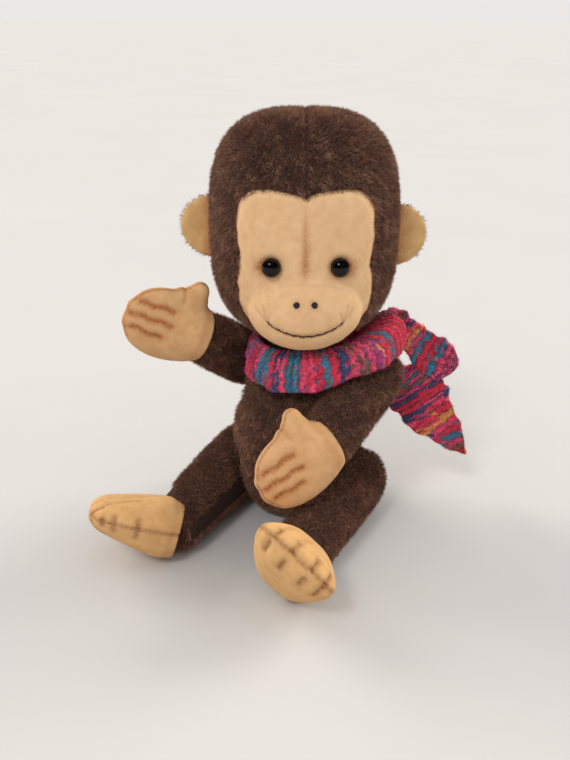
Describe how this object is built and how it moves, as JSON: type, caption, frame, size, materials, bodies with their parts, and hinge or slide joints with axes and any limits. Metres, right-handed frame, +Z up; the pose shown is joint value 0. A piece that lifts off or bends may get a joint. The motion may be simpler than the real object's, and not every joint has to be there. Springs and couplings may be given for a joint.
{
  "type": "stuffed monkey",
  "caption": "Small seated plush monkey with turning head, arms and legs on disc joints, a cloth face and a knitted scarf.",
  "frame": {"origin": "middle of the flat underside of the seat", "axes": "+Z up, the chest faces -Y, the monkey's left is +X"},
  "size_m": [0.1208, 0.1306, 0.167],
  "materials": {
    "fur_cloth": "short dense pile",
    "face_cloth": "short brushed nap",
    "foot_cloth": "short brushed nap",
    "filling": "loose fibre",
    "scarf_knit": "knitted wool, cross striped",
    "thread": "twisted thread",
    "glass_bead": "polished black",
    "hardboard": "pressed fibre board",
    "steel": "zinc plated"
  },
  "bodies": {
    "torso": {"torso_skin": "fur_cloth", "torso_stuffing": "filling", "scarf_collar": "scarf_knit", "scarf_knot": "scarf_knit", "scarf_long_end": "scarf_knit", "scarf_short_end": "scarf_knit", "neck_body_disc": "hardboard", "neck_body_washer": "steel", "neck_nut": "steel", "neck_bolt": "steel", "left_shoulder_body_disc": "hardboard", "left_shoulder_body_washer": "steel", "left_shoulder_nut": "steel", "left_shoulder_bolt": "steel", "right_shoulder_body_disc": "hardboard", "right_shoulder_body_washer": "steel", "right_shoulder_nut": "steel", "right_shoulder_bolt": "steel", "left_hip_body_disc": "hardboard", "left_hip_body_washer": "steel", "left_hip_nut": "steel", "left_hip_bolt": "steel", "right_hip_body_disc": "hardboard", "right_hip_body_washer": "steel", "right_hip_nut": "steel", "right_hip_bolt": "steel"},
    "head": {"head_skin": "fur_cloth", "face_mask": "face_cloth", "head_stuffing": "filling", "mouth_thread": "thread", "left_ear": "face_cloth", "right_ear": "face_cloth", "left_eye": "glass_bead", "right_eye": "glass_bead", "left_nostril": "thread", "right_nostril": "thread", "neck_head_disc": "hardboard", "neck_head_washer": "steel"},
    "left_arm": {"left_arm_skin": "fur_cloth", "left_arm_stuffing": "filling", "left_hand": "face_cloth", "left_shoulder_arm_disc": "hardboard", "left_shoulder_arm_washer": "steel"},
    "left_leg": {"left_leg_skin": "fur_cloth", "left_leg_stuffing": "filling", "left_foot": "foot_cloth", "left_hip_leg_disc": "hardboard", "left_hip_leg_washer": "steel"},
    "right_arm": {"right_arm_skin": "fur_cloth", "right_arm_stuffing": "filling", "right_hand": "face_cloth", "right_shoulder_arm_disc": "hardboard", "right_shoulder_arm_washer": "steel"},
    "right_leg": {"right_leg_skin": "fur_cloth", "right_leg_stuffing": "filling", "right_foot": "foot_cloth", "right_hip_leg_disc": "hardboard", "right_hip_leg_washer": "steel"}
  },
  "joints": [
    {"name": "neck_turn", "type": "hinge", "parent": "torso", "child": "head", "pos_m": [0, 0, 0.07785], "axis": [0, 0, 1], "range_deg": [-30, 55]},
    {"name": "left_shoulder", "type": "hinge", "parent": "torso", "child": "left_arm", "pos_m": [0.0175, 0, 0.0612], "axis": [-1, 0, 0], "range_deg": [0, 14]},
    {"name": "right_shoulder", "type": "hinge", "parent": "torso", "child": "right_arm", "pos_m": [-0.0175, 0, 0.0612], "axis": [-1, 0, 0], "range_deg": [-36, 3]},
    {"name": "left_hip", "type": "hinge", "parent": "torso", "child": "left_leg", "pos_m": [0.0145, -0.008, 0.0156], "axis": [-1, 0, 0], "range_deg": [-84, 0]},
    {"name": "right_hip", "type": "hinge", "parent": "torso", "child": "right_leg", "pos_m": [-0.0145, -0.008, 0.0156], "axis": [-1, 0, 0], "range_deg": [-84, 8]}
  ]
}
